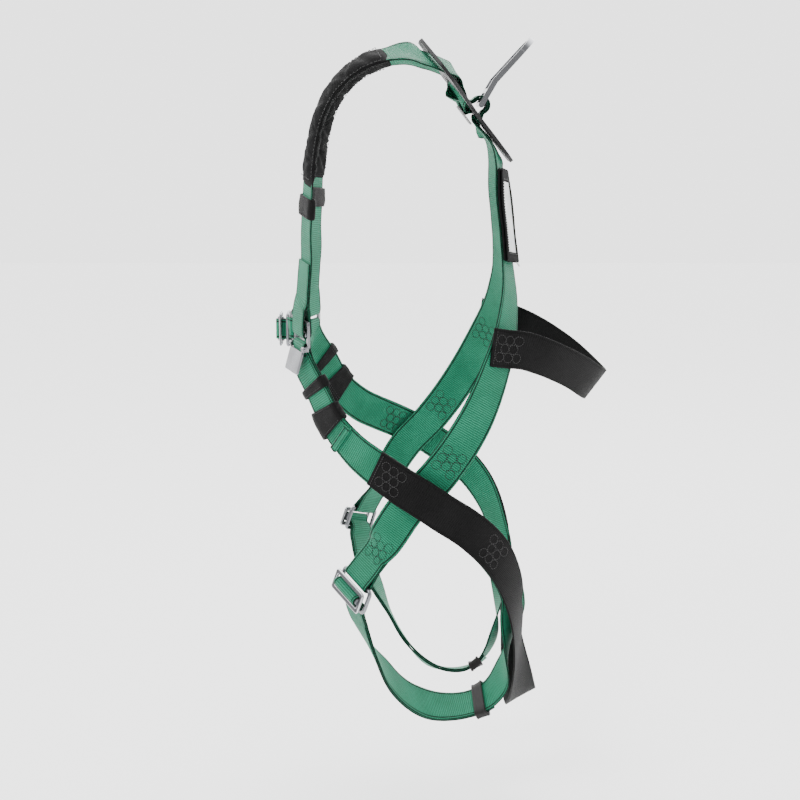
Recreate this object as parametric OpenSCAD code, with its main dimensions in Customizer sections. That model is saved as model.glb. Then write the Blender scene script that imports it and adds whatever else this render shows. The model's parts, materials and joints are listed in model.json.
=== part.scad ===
// Full-body climbing harness, shown as it hangs on a wearer.
// Millimetres. +Z up, -Y is the wearer's front, +X is the wearer's left.
// The origin lies between the two points where the straps rest on the shoulders.

/* [Webbing] */
// Width of the main straps
web_w = 45; // [43:1:46]
// Thickness of the webbing
web_t = 2; // [1.6:0.1:2.2]
// Distance between two layers of webbing, centre to centre
layer = 2.6; // [2.5:0.1:2.8]
// Width of the chest strap
chest_w = 25; // [23:1:26]
// Wall of the padded sleeves on the shoulders
pad_wall = 4; // [3:0.5:5]
// Wall of the elastic keepers
keeper_wall = 1.6; // [1.2:0.2:2]

/* [Hardware] */
// Diameter of the rod in the buckle rings
ring_rod = 5; // [4:0.5:5]
// Thickness of the stamped steel plates
plate_t = 3; // [2:0.5:3]
// Radius of the round bars in the buckles' plates
bar_r = 4; // [3:0.5:4]
// Thickness of the forged dorsal ring
forging = 6.4; // [5.5:0.1:6.6]
// Clear width of the dorsal ring
ring_clear = 52; // [49:1:54]

/* [Dorsal plate] */
// Lean of the dorsal plate from the vertical
dorsal_lean = 38; // [36:1:40]
// Thickness of the dorsal plate
dorsal_t = 4; // [3:0.5:4]

/* [Hidden] */

steel = "silver";
dark_steel = "dimgray";
green = "seagreen";
black = [0.12, 0.12, 0.12];
$fn = 40;

// Longest step between two rings of a strap
pitch = 14;
// Air between webbing and the steel that it bends round
ease = 0.3;

// ---- Vectors and frames ----

function unit(v) = v / norm(v);
function where(row) = [row[0], row[1], row[2]];
function facing(row) = [row[3], row[4], row[5]];
function row(p, n) = [p[0], p[1], p[2], n[0], n[1], n[2]];
function reverse(list) = [for (i = [len(list) - 1:-1:0]) list[i]];
function part_of(list, first, last) = [for (i = [first:last]) list[i]];

// Turn of a point about X, then Y, then Z, as rotate() does it
function turn_x(p, a) = [p[0], p[1] * cos(a) - p[2] * sin(a), p[1] * sin(a) + p[2] * cos(a)];
function turn_y(p, a) = [p[0] * cos(a) + p[2] * sin(a), p[1], -p[0] * sin(a) + p[2] * cos(a)];
function turn_z(p, a) = [p[0] * cos(a) - p[1] * sin(a), p[0] * sin(a) + p[1] * cos(a), p[2]];
function turned(p, a) = turn_z(turn_y(turn_x(p, a[0]), a[1]), a[2]);
function placed(r, at, a) = row(at + turned(where(r), a), turned(facing(r), a));

// Catmull-Rom curve through rows of [position, facing]
function curve_at(a, b, c, d, t) =
    0.5 * (2 * b + (c - a) * t + (2 * a - 5 * b + 4 * c - d) * t * t + (3 * b - a - 3 * c + d) * t * t * t);
function smooth(rows, step = pitch) = concat(
    [for (i = [0:len(rows) - 2])
        let (b = rows[i], c = rows[i + 1],
            a = i > 0 ? rows[i - 1] : 2 * b - c,
            d = i < len(rows) - 2 ? rows[i + 2] : 2 * c - b,
            n = max(1, ceil(norm(where(c) - where(b)) / step)))
        for (k = [0:n - 1]) curve_at(a, b, c, d, k / n)],
    [rows[len(rows) - 1]]);

// Frame at a station of a route: [position, along, outward, across]
function frame_at(rows, i) =
    let (last = len(rows) - 1,
        along = unit(where(rows[min(i + 1, last)]) - where(rows[max(i - 1, 0)])),
        out = unit(facing(rows[i]) - (facing(rows[i]) * along) * along))
    [where(rows[i]), along, out, cross(along, out)];
// Rows moved outward from the body by d
function lifted(rows, d) = [for (i = [0:len(rows) - 1])
    let (f = frame_at(rows, i)) row(f[0] + d * f[2], f[2])];

// Station nearest to a height z, searching rows first to last
function station(rows, z, i = 0) =
    (i >= len(rows) - 2 || (rows[i][2] - z) * (rows[i + 1][2] - z) <= 0) ? i : station(rows, z, i + 1);

// ---- Swept webbing ----

module webbing(rows, w = web_w, t = web_t) {
    n = len(rows);
    frames = [for (i = [0:n - 1]) frame_at(rows, i)];
    points = [for (f = frames, s = [[1, 1], [-1, 1], [-1, -1], [1, -1]])
        f[0] + s[0] * w / 2 * f[3] + s[1] * t / 2 * f[2]];
    sides = [for (i = [0:n - 2], j = [0:3])
        let (a = 4 * i + j, b = a + 4, d = 4 * i + (j + 1) % 4, c = d + 4)
        each [[a, d, c], [a, c, b]]];
    ends = [[3, 2, 1, 0], [4 * n - 4, 4 * n - 3, 4 * n - 2, 4 * n - 1]];
    polyhedron(points, concat(sides, ends));
}

// A flat sleeve around a strap: w and t are its cavity, wall its thickness
module sleeve(rows, w, t, wall) {
    n = len(rows);
    frames = [for (i = [0:n - 1]) frame_at(rows, i)];
    points = [for (f = frames, g = [0, wall], s = [[1, 1], [-1, 1], [-1, -1], [1, -1]])
        f[0] + s[0] * (w / 2 + g) * f[3] + s[1] * (t / 2 + g) * f[2]];
    outside = [for (i = [0:n - 2], j = [0:3])
        let (a = 8 * i + 4 + j, b = a + 8, d = 8 * i + 4 + (j + 1) % 4, c = d + 8)
        each [[a, d, c], [a, c, b]]];
    inside = [for (i = [0:n - 2], j = [0:3])
        let (a = 8 * i + j, b = a + 8, d = 8 * i + (j + 1) % 4, c = d + 8)
        each [[a, c, d], [a, b, c]]];
    e = 8 * (n - 1);
    ends = [for (j = [0:3])
        let (k = (j + 1) % 4)
        each [[j, k, 4 + k], [j, 4 + k, 4 + j], [e + j, e + 4 + k, e + k], [e + j, e + 4 + j, e + 4 + k]]];
    polyhedron(points, concat(outside, inside, ends));
}

module other_side(mirrored) {
    if (mirrored) mirror([1, 0, 0]) children();
    else children();
}

// ---- Places of the hardware: X across, -Y outward, Z up ----

// Dorsal plate: here Y is outward and Z runs up along the plate
dorsal_at = [0, 81, -63];
dorsal_turn = [dorsal_lean, 0, 0];
// The webbing loop that holds the dorsal ring
loop_out = 11;
loop_r = 7.6;

chest_at = [78, -122, -319];
chest_turn = [0, 0, 20];
slide_w = 60;
slide_h = 32;
slide_bar_r = 3;
lever_at = [0, -5, -16];
lever_turn = [-16, 0, 0];

buckle_at = [0, -143, -327];
buckle_turn = [0, -90, 0];

leg_at = [142, -60, -617.5];
leg_turn = [-10, 18, 34];

// Buckles: a ring held in one strap's sewn loop, and a plate in front that the other strap turns round
ring_out = 0.5;
ring_top = 16;
ring_bottom = -13;
bar_out = 10;
bar_up = 0.5;

// ---- Routes of the wearer's left side: [x, y, z, facing x, y, z] ----

shoulder_route = [
    [79, -119, -280, 0.34, -0.94, 0.00],
    [80, -117, -258, 0.33, -0.94, 0.00],
    [81, -115, -235, 0.32, -0.95, 0.00],
    [82, -115, -204, 0.30, -0.95, 0.00],
    [84, -113, -169, 0.30, -0.95, 0.02],
    [87, -110, -130, 0.26, -0.95, 0.12],
    [90, -105, -98, 0.24, -0.93, 0.26],
    [93, -97, -68, 0.24, -0.84, 0.48],
    [96, -83, -41, 0.26, -0.68, 0.68],
    [98, -62, -19, 0.28, -0.46, 0.84],
    [98, -37, -5, 0.30, -0.18, 0.93],
    [95, -11, 1, 0.34, 0.04, 0.94]
];

// Past the shoulder, in the dorsal plate's own frame: out through one slot and back in by the next
dorsal_route = [
    [80, -14, 92, 0.30, 0.90, 0.25],
    [70, -8, 80, 0.25, 0.90, 0.35],
    [58, 1, 66, 0.27, 0.90, 0.33],
    [49, 8, 54, 0.00, 1.00, 0.00],
    [40, 8, 44, 0.00, 1.00, -0.20],
    [29, 1, 33, -0.30, 0.92, -0.26],
    [19, -4, 26, 0.00, 1.00, -0.20],
    [6, -5, 20, 0.00, 1.00, 0.00]
];
// Under the ring, still inside the plate
lower_dorsal_route = [
    [-4, -5, -21, 0.00, 1.00, 0.00],
    [-15, -5, -34, 0.00, 1.00, 0.00],
    [-31, -8, -52, 0.05, 1.00, 0.00]
];

back_route = [
    [48, 110, -130, 0.20, 0.97, 0.10],
    [52, 113, -164, 0.30, 0.95, 0.00],
    [55, 117, -200, 0.30, 0.95, 0.00],
    [62, 121, -238, 0.34, 0.93, 0.05],
    [77, 123, -276, 0.45, 0.88, 0.10],
    [101, 117, -319, 0.62, 0.78, 0.10],
    [126, 103, -360, 0.80, 0.60, 0.05],
    [145, 84, -403, 0.92, 0.38, 0.00],
    [153, 61, -442, 0.98, 0.18, 0.00],
    [155, 34, -478, 1.00, 0.02, 0.00],
    [154, 2, -512, 0.99, -0.12, 0.00],
    [150, -22, -550, 0.88, -0.46, 0.00]
];

hip_route = [
    [84, -118, -356, 0.55, -0.82, -0.12],
    [88, -112, -369, 0.60, -0.78, -0.18],
    [94, -103, -385, 0.64, -0.74, -0.21],
    [106, -85, -422, 0.70, -0.68, -0.18],
    [124, -61, -449, 0.84, -0.53, -0.10],
    [143, -34, -467, 0.95, -0.28, -0.03],
    [160, -6, -483, 0.99, -0.12, 0.00],
    [168, 20, -498, 1.00, -0.02, 0.00],
    [169, 44, -514, 1.00, 0.08, 0.00],
    [164, 76, -537, 0.94, 0.34, 0.00],
    [151, 105, -570, 0.80, 0.60, 0.00],
    [134, 124, -612, 0.60, 0.80, 0.00]
];
thigh_route = [
    [113, 130, -658, 0.65, 0.72, -0.27],
    [91, 128, -706, 0.22, 0.96, -0.17],
    [73, 122, -752, -0.33, 0.94, -0.13],
    [62, 107, -783, -0.38, 0.77, -0.51],
    [57, 84, -798, -0.33, 0.33, -0.89],
    [60, 56, -801, -0.36, -0.16, -0.92],
    [70, 28, -793, -0.35, -0.59, -0.73],
    [88, 2, -771, -0.20, -0.80, -0.57],
    [106, -20, -738, -0.12, -0.88, -0.46],
    [119, -38, -702, 0.17, -0.87, -0.45]
];

// Black webbing: it leaves the hip strap's outside and passes under the seat
seat_route = [
    [120, 135, -655, 0.40, 0.92, 0.00],
    [102, 138, -708, 0.24, 0.97, -0.10],
    [68, 144, -762, 0.26, 0.80, -0.52],
    [30, 149, -799, 0.18, 0.52, -0.83],
    [0, 150, -808, 0.00, 0.40, -0.92]
];

lumbar_route = [
    [127, 100, -328, 0.78, 0.62, 0.05],
    [118, 118, -332, 0.74, 0.67, 0.00],
    [110, 141, -336, 0.84, 0.52, -0.12],
    [92, 173, -350, 0.78, 0.52, -0.32],
    [62, 206, -370, 0.58, 0.66, -0.46],
    [30, 229, -389, 0.31, 0.77, -0.56],
    [0, 237, -396, 0.00, 0.81, -0.59]
];

// ---- Bends of webbing round steel, as [outward, up] points ----

function arc(at, r, from, to, steps = 8) =
    [for (i = [0:steps]) let (a = from + (to - from) * i / steps) at + r * [cos(a), sin(a)]];
// Rows in a hardware frame; side = 1 faces the bar that the webbing turns round
function bend(points, side) = [for (i = [0:len(points) - 1])
    let (last = len(points) - 1,
        d = unit(points[min(i + 1, last)] - points[max(i - 1, 0)]))
    [0, -points[i][0], points[i][1], 0, side * -d[1], side * -d[0]]];
function all_placed(rows, at, a) = [for (r = rows) placed(r, at, a)];

function plate_turn(r) = concat(
    [[-15, -30], [-11, -24], [-8.2, -19.8], [-6.6, -15], [-6.3, -11], [-1.5, -5]],
    arc([bar_out, bar_up], r, 195, -115, 12),
    [[2, -7], [-2.9, -11], [-3.6, -15.5], [-5.5, -20.5], [-8.6, -25.6], [-12.8, -31.4]]);
function ring_loop_down(r) = concat(
    [[-11.8, 53], [-4.5, 36], [1, 24]],
    arc([ring_out, ring_top], r, 25, -180, 8),
    [[-4.4, 22], [-5.9, 29], [-7.4, 36], [-14.4, 52]]);
// The slides: the shoulder strap's free end in front, round the bar, and up behind
slide_turn = concat(
    [[1.8, 34], [3.8, 21], [4.2, 12]],
    arc([0, 0], slide_bar_r + web_t / 2 + ease, 0, -180, 6),
    [[-4.2, 12], [-3.8, 22], [-3.2, 32]]);
// The hip strap's free end up in front, over the lower rail, and down behind
rail_h = 4.5;
rail_up = (rail_h - slide_h) / 2;
rail_turn = concat(
    [[-0.2, -27], [2.6, -22], [3.6, rail_up - 2]],
    arc([0, rail_up], 3.9, 20, 160, 4),
    [[-3.6, rail_up - 2], [-3.5, -21], [-3.4, -27]]);

// ---- Whole straps, on the wearer's left ----

function turned_over(rows) = [for (r = reverse(rows)) row(where(r), -facing(r))];
function mirrored(rows) = [for (r = reverse(rows)) [-r[0], r[1], r[2], -r[3], r[4], r[5]]];
function both_sides(rows) = concat(rows, part_of(mirrored(rows), 1, len(rows) - 1));
function to_world(rows, at, a) = [for (r = rows) placed(r, at, a)];

// k counts the layers of the other strap between this one and the plate or the ring
function under(rows, k) = [for (r = rows) r - [0, k * layer, 0, 0, 0, 0]];
function ring_turn(k) =
    let (r = loop_r + k * layer)
    concat([[0, -4.6 - k * layer, 16.4, 0, 0.9, 0.4], [0, -1, 11.8 + k * layer, 0, 0.3, 0.95]],
        [for (i = [0:14]) let (a = 106 - 212 * i / 14)
            [0, loop_out + r * cos(a), r * sin(a), 0, cos(a), sin(a)]],
        [[0, -1, -11.8 - k * layer, 0, 0.3, -0.95], [0, -4.6 - k * layer, -16.4, 0, 0.9, -0.4]]);
function dorsal_rows(k) = to_world(concat(
    part_of(dorsal_route, 0, 5), under(part_of(dorsal_route, 6, 7), k),
    ring_turn(k),
    under(part_of(lower_dorsal_route, 0, 1), k), [lower_dorsal_route[2]]), dorsal_at, dorsal_turn);

function far_back_rows() = [for (r = back_route) [-r[0], r[1], r[2], -r[3], r[4], r[5]]];
// The back strap ends in a loop round the leg ring; this is the loop of the wearer's left
leg_loop = to_world(bend(ring_loop_down(ring_rod / 2 + web_t / 2 + ease), -1), leg_at, leg_turn);
far_leg_loop = [for (r = leg_loop) [-r[0], r[1], r[2], -r[3], r[4], r[5]]];

function shoulder_rows(k) = smooth(concat(
    turned_over(lifted(part_of(shoulder_route, 0, 2), layer)),
    to_world(bend(slide_turn, 1), chest_at, chest_turn),
    shoulder_route, dorsal_rows(k), far_back_rows(), far_leg_loop));

leg_entry = to_world([[1, 22.8, -42, 0, -0.83, -0.55], [0, 16.7, -32.5, 0, -0.83, -0.55]], leg_at, leg_turn);
function thigh_rows() = smooth(concat(
    turned_over(lifted(part_of(hip_route, 0, 3), layer)),
    to_world(bend(rail_turn, -1), chest_at, chest_turn),
    hip_route, thigh_route, leg_entry));
function thigh_tail_rows() = lifted(smooth(concat(part_of(thigh_route, 2, 9), leg_entry)), layer);
function thigh_turn_rows() = to_world(
    bend(plate_turn(bar_r + web_t / 2 + ease), 1), leg_at, leg_turn);

function seat_rows() = smooth(both_sides(concat(
    lifted(part_of(hip_route, 5, len(hip_route) - 1), layer), seat_route)));
function lumbar_rows() = smooth(both_sides(lumbar_route));

// Chest strap: sewn round the slide's inner rail, here as [along the slide, outward]
tab_x = -36.4;
tab_loop = concat([[-50, -1.6], [-42, -2.9]], arc([tab_x, 0], 3.4, -110, 110, 8), [[-42, 2.9], [-46, 2.4]]);
function tab_rows() = to_world([for (i = [0:len(tab_loop) - 1])
    let (last = len(tab_loop) - 1,
        d = unit(tab_loop[min(i + 1, last)] - tab_loop[max(i - 1, 0)]))
    [tab_loop[i][0], -tab_loop[i][1], 0, -d[1], -d[0], 0]], chest_at, chest_turn);
chest_split = -23.5;
function chest_left_rows() = smooth(concat(tab_rows(),
    to_world([[0, 7.2, chest_split - 3, 0, -1, 0], [0, 7.1, chest_split, 0, -1, 0]], buckle_at, buckle_turn)));
chest_loop = concat([[-1.2, 28], [1.4, 23]],
    arc([ring_out, ring_top], ring_rod / 2 + web_t / 2 + ease, 25, -180, 8),
    [[-4.4, 22], [-5.6, 27]]);
function chest_right_rows() = smooth(concat(
    [for (r = tab_rows()) [-r[0], r[1], r[2], -r[3], r[4], r[5]]],
    to_world(bend(chest_loop, -1), buckle_at, buckle_turn)));
function chest_turn_rows() = to_world(bend(concat([[-7, -22]], part_of(plate_turn(bar_r + web_t / 2 + ease), 4, 20), [[-3.6, -16], [-4.3, -22]]), 1),
    buckle_at, buckle_turn);

// ---- Webbing ----

module shoulder_strap(k) color(green) webbing(shoulder_rows(k));
module shoulder_strap_left() shoulder_strap(0);
module shoulder_strap_right() other_side(true) shoulder_strap(1);

module thigh_strap() color(green) {
    webbing(thigh_rows());
    webbing(thigh_tail_rows());
}
module thigh_strap_left() thigh_strap();
module thigh_strap_right() other_side(true) thigh_strap();

module thigh_turn() color(green) webbing(thigh_turn_rows());
module thigh_turn_left() thigh_turn();
module thigh_turn_right() other_side(true) thigh_turn();

module seat_strap() color(black) webbing(seat_rows());
module lumbar_strap() color(black) webbing(lumbar_rows());

module chest_strap_left() color(green) webbing(chest_left_rows(), chest_w);
module chest_strap_right() color(green) webbing(chest_right_rows(), chest_w);
module chest_turn() color(green) webbing(chest_turn_rows(), chest_w);

// ---- Padding, keepers and label ----

module shoulder_pad() {
    rows = smooth(shoulder_route);
    color(black) sleeve(part_of(rows, station(rows, -132), len(rows) - 2), web_w + 1.5, web_t + 1.5, pad_wall);
}
module shoulder_pad_left() shoulder_pad();
module shoulder_pad_right() other_side(true) shoulder_pad();

// A keeper of a given length that holds some layers of webbing at a station of a route
keeper_ease = 1.7;
moulded_ease = 2;
fine = 2;
module keeper(route, z, length, layers, ease = keeper_ease) {
    rows = lifted(smooth(route, fine), (layers - 1) * layer / 2);
    middle = station(rows, z);
    half = round(length / 2 / fine);
    color(black)
        sleeve([for (s = [-1:1]) rows[middle + s * half]],
            web_w + 3, (layers - 1) * layer + web_t + 2 * ease, keeper_wall);
}
module shoulder_keeper() keeper(shoulder_route, -171, 24, 1);
module shoulder_keeper_left() shoulder_keeper();
module shoulder_keeper_right() other_side(true) shoulder_keeper();
module hip_keeper() keeper(hip_route, -385, 12, 2);
module hip_keeper_left() hip_keeper();
module hip_keeper_right() other_side(true) hip_keeper();
module hip_sleeve() keeper(hip_route, -419, 26, 2);
module hip_sleeve_left() hip_sleeve();
module hip_sleeve_right() other_side(true) hip_sleeve();
module leg_keeper() keeper(thigh_route, -795, 16, 2, moulded_ease);
module leg_keeper_left() leg_keeper();
module leg_keeper_right() other_side(true) leg_keeper();

pocket_t = 4;
pocket_rows = lifted(smooth(part_of(back_route, 0, 3)), web_t / 2 + 0.6 + pocket_t / 2);
module label_pocket() color(black) webbing(pocket_rows, web_w + 4, pocket_t);
module label_card() color("white") webbing(lifted(pocket_rows, pocket_t / 2 + 0.8), web_w - 9, 0.8);

// ---- Dorsal hardware, in the dorsal plate's frame ----

module at_dorsal() translate(dorsal_at) rotate(dorsal_turn) children();
// A slot through the plate, its length along X before it is turned by a
module plate_slot(x, z, length, width, a) translate([x, z]) rotate(a) square([length, width], center = true);
module dorsal_outline() {
    half = [[24, 103], [46, 103], [92, 66], [92, 42], [62, 12], [42, 0], [36, -14], [44, -40], [40, -64], [26, -75]];
    offset(r = 6) offset(delta = -6)
        polygon(concat(half, [for (p = reverse(half)) [-p[0], p[1]]]));
}
module dorsal_plate() color(black) at_dorsal() rotate([90, 0, 0])
    linear_extrude(dorsal_t, center = true) difference() {
        dorsal_outline();
        for (side = [-1, 1]) {
            plate_slot(side * 59, 66.5, 51, 18, side * -39);
            plate_slot(side * 26.8, 32, 52, 18, side * -49);
            plate_slot(0, side * 12.8, 51, 9.6, 0);
        }
    }

ring_rest = 22;
ring_bend = 12.7;
slot_top = 14;
cross_h = 6;
lower_leg = 32;
upper_leg = 34;
leg_w = 7;
// Rods at the pivot and the bend, just inside the flat legs
pivot_r = forging / 2 - 0.1;
module ring_legs(from, to) for (side = [-1, 1])
    translate([side * (ring_clear + leg_w) / 2, (from + to) / 2]) square([leg_w, to - from], center = true);
module forged() rotate([90, 0, 0]) linear_extrude(forging, center = true) children();
module cross_rod(length, r) rotate([0, 90, 0]) cylinder(r = r, h = length, center = true);
module dorsal_ring() color(steel)
    at_dorsal() translate([0, loop_out, 0]) rotate([ring_rest - 90, 0, 0]) {
        cross_rod(ring_clear + 2 * leg_w, pivot_r);
        forged() ring_legs(0, lower_leg);
        forged() translate([0, slot_top + cross_h / 2]) square([ring_clear + 2, cross_h], center = true);
        translate([0, 0, lower_leg]) rotate([-ring_bend, 0, 0]) {
            for (side = [-1, 1]) translate([side * (ring_clear + leg_w) / 2, 0, 0])
                cross_rod(leg_w, pivot_r);
            forged() ring_legs(0, upper_leg);
            translate([0, 0, upper_leg]) rotate([90, 0, 0])
                rotate_extrude(angle = 180) translate([ring_clear / 2, -forging / 2]) square([leg_w, forging]);
        }
    }

module fall_indicator() color("gray") at_dorsal()
    translate([0, -11.6, 2]) rotate([90, 0, 0]) linear_extrude(1.6, center = true) rounded(48, 26, 3);

// ---- Stamped and bent steel ----

// A rectangle with round corners
module rounded(w, h, r) {
    square([w - 2 * r, h], center = true);
    square([w, h - 2 * r], center = true);
    for (x = [-1, 1], y = [-1, 1]) translate([x * (w / 2 - r), y * (h / 2 - r)]) circle(r);
}
module stamped(t = plate_t) rotate([90, 0, 0]) linear_extrude(t, center = true) children();

// A ring of bent rod in the XZ plane, w and h between the centres of its bars
module rod_ring(w, h, r = 5) {
    for (z = [-1, 1]) translate([0, 0, z * h / 2]) cross_rod(w - 2 * r, ring_rod / 2);
    for (x = [-1, 1]) translate([x * w / 2, 0, 0]) cylinder(d = ring_rod, h = h - 2 * r, center = true);
    for (i = [0:3]) let (x = i == 0 || i == 3 ? 1 : -1, z = i < 2 ? 1 : -1)
        translate([x * (w / 2 - r), 0, z * (h / 2 - r)]) rotate([90, 0, 0]) rotate(90 * i)
            rotate_extrude(angle = 90) translate([r, 0]) circle(d = ring_rod);
}

// The two halves of a buckle for webbing of a given width
module buckle_ring(w) color(steel)
    translate([0, -ring_out, (ring_top + ring_bottom) / 2]) rod_ring(w + 12, ring_top - ring_bottom);
module buckle_plate(w) color(dark_steel) translate([0, -bar_out, bar_up]) stamped() difference() {
    rounded(w + 15, 27, 4);
    rounded(w + 5, 15, 2);
}
module buckle_bar(w) color(steel) translate([0, -bar_out, bar_up]) cross_rod(w + 4.6, bar_r);

module at_leg() translate(leg_at) rotate(leg_turn) children();
module leg_ring_left() at_leg() buckle_ring(web_w);
module leg_ring_right() other_side(true) leg_ring_left();
module leg_plate_left() at_leg() buckle_plate(web_w);
module leg_plate_right() other_side(true) leg_plate_left();
module leg_bar_left() at_leg() buckle_bar(web_w);
module leg_bar_right() other_side(true) leg_bar_left();

module at_buckle() translate(buckle_at) rotate(buckle_turn) children();
module chest_ring() at_buckle() buckle_ring(chest_w);
module chest_plate() at_buckle() buckle_plate(chest_w);
module chest_plate_bar() at_buckle() buckle_bar(chest_w);

// Chest slides, each with a round bar, a pinned lever and a slot for the chest strap
pin_r = 1.5;
ear_x = 27.5;
ear_w = 3;
module at_slide() translate(chest_at) rotate(chest_turn) children();
module chest_slide_left() color(steel) at_slide() {
    stamped() difference() {
        translate([-5, 0]) rounded(slide_w + 10, slide_h, 4);
        square([web_w + 3, slide_h - 2 * rail_h], center = true);
        translate([tab_x + 3.4, 0]) square([3.4, chest_w + 2], center = true);
    }
    for (side = [-1, 1]) translate([side * ear_x, 0, lever_at[2]]) difference() {
        union() {
            translate([0, lever_at[1], 0]) cross_rod(ear_w, 3);
            translate([0, lever_at[1] / 2, 0]) cube([ear_w, -lever_at[1], 6], center = true);
        }
        translate([0, lever_at[1], 0]) cross_rod(ear_w + 1, pin_r + 0.05);
    }
}
module chest_slide_right() other_side(true) chest_slide_left();
module chest_bar_left() color(dark_steel) at_slide() cross_rod(web_w + 2.6, slide_bar_r);
module chest_bar_right() other_side(true) chest_bar_left();
pin_l = 6.6;
module chest_pin_left() color(steel) at_slide() translate(lever_at) for (side = [-1, 1])
    translate([side * (ear_x + ear_w / 2 + 0.6 - pin_l / 2), 0, 0]) cross_rod(pin_l, pin_r);
module chest_pin_right() other_side(true) chest_pin_left();

lever_w = 50;
lever_l = 31;
lever_t = 2.4;
eye_w = 2.4;
module chest_lever_left() color(steel) at_slide() translate(lever_at) rotate(lever_turn) difference() {
    union() {
        for (side = [-1, 1]) translate([side * (lever_w - eye_w) / 2, 0, -1.5]) {
            translate([0, 0, 1.5]) cross_rod(eye_w, 3);
            cube([eye_w, lever_t, 6], center = true);
        }
        translate([0, 0, -4 - (lever_l - 4) / 2]) stamped(lever_t) rounded(lever_w, lever_l - 4, 3);
    }
    cross_rod(lever_w + 1, pin_r + 0.3);
}
module chest_lever_right() other_side(true) chest_lever_left();

shoulder_strap_left();
shoulder_strap_right();
thigh_strap_left();
thigh_strap_right();
thigh_turn_left();
thigh_turn_right();
seat_strap();
lumbar_strap();
chest_strap_left();
chest_strap_right();
chest_turn();
shoulder_pad_left();
shoulder_pad_right();
shoulder_keeper_left();
shoulder_keeper_right();
hip_keeper_left();
hip_keeper_right();
hip_sleeve_left();
hip_sleeve_right();
leg_keeper_left();
leg_keeper_right();
dorsal_plate();
dorsal_ring();
fall_indicator();
label_pocket();
label_card();
chest_slide_left();
chest_slide_right();
chest_bar_left();
chest_bar_right();
chest_lever_left();
chest_lever_right();
chest_pin_left();
chest_pin_right();
chest_ring();
chest_plate();
chest_plate_bar();
leg_ring_left();
leg_ring_right();
leg_plate_left();
leg_plate_right();
leg_bar_left();
leg_bar_right();
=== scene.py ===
"""A full-body climbing harness as worn: woven straps, stitching, pads, keepers and bright steel.

Each strap's course is read from its CAD solid, and a woven ribbon is built along it.
Lengths are metres unless a name ends in _mm.
"""
import json
import math

import bpy
import numpy as np
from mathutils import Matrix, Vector, noise

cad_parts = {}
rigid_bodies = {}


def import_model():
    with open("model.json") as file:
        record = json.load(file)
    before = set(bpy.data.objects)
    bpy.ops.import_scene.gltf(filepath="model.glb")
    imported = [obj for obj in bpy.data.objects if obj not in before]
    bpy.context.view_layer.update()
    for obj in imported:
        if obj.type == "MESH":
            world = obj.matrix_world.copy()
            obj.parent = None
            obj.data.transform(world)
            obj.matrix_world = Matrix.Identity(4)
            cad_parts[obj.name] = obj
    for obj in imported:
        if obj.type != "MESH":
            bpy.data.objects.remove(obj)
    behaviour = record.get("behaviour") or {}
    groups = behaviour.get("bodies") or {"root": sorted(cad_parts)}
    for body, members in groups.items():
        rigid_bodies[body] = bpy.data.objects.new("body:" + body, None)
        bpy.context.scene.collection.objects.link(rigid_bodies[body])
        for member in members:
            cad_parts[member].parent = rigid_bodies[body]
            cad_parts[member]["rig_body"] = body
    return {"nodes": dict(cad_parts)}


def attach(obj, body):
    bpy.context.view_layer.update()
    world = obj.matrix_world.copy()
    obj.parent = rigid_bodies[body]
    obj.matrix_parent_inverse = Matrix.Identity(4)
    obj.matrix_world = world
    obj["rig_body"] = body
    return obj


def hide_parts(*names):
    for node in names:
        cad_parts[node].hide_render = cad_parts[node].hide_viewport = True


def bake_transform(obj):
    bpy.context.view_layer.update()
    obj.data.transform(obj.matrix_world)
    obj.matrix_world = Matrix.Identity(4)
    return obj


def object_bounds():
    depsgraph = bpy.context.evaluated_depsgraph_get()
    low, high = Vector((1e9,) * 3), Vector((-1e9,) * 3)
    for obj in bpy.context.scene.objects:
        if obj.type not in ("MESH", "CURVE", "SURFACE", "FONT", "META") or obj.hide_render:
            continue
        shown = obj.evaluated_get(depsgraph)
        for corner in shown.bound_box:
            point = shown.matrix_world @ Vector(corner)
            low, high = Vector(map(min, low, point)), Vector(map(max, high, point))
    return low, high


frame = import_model()
cad_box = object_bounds()
nodes = frame["nodes"]

SIDES = ("left", "right")
WEB_W, WEB_T = 0.045, 0.002
CHEST_W = 0.025
BAND_W, HIP_BAND_T, SHOULDER_BAND_T, LEG_BAND_T = 0.0512, 0.0112, 0.0086, 0.0118
MM = 0.001
HORIZON = 2.65  # brightness of the backdrop where it meets the floor

# ---- Camera, light and floor ----

CAMERA_AT = (1.700, -0.006, -0.050)
CAMERA_TILT = math.radians(12.2)
FOCAL_MM, SENSOR_MM = 62.55, 36.0
FLOOR_HALF, FLOOR_BELOW = 6.0, 0.12

def make_camera():
    data = bpy.data.cameras.new("camera")
    data.lens, data.sensor_width = FOCAL_MM, SENSOR_MM
    camera = bpy.data.objects.new("camera", data)
    camera.location = CAMERA_AT
    looking = Vector((-math.cos(CAMERA_TILT), 0, -math.sin(CAMERA_TILT)))
    camera.rotation_euler = looking.to_track_quat("-Z", "Y").to_euler()
    bpy.context.scene.collection.objects.link(camera)
    bpy.context.scene.camera = camera


def make_light(name, place, target, size, power):
    data = bpy.data.lights.new(name, "AREA")
    data.shape, data.size, data.energy = "SQUARE", size, power
    light = bpy.data.objects.new(name, data)
    light.location = place
    light.rotation_euler = (Vector(target) - Vector(place)).to_track_quat("-Z", "Y").to_euler()
    bpy.context.scene.collection.objects.link(light)


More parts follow.
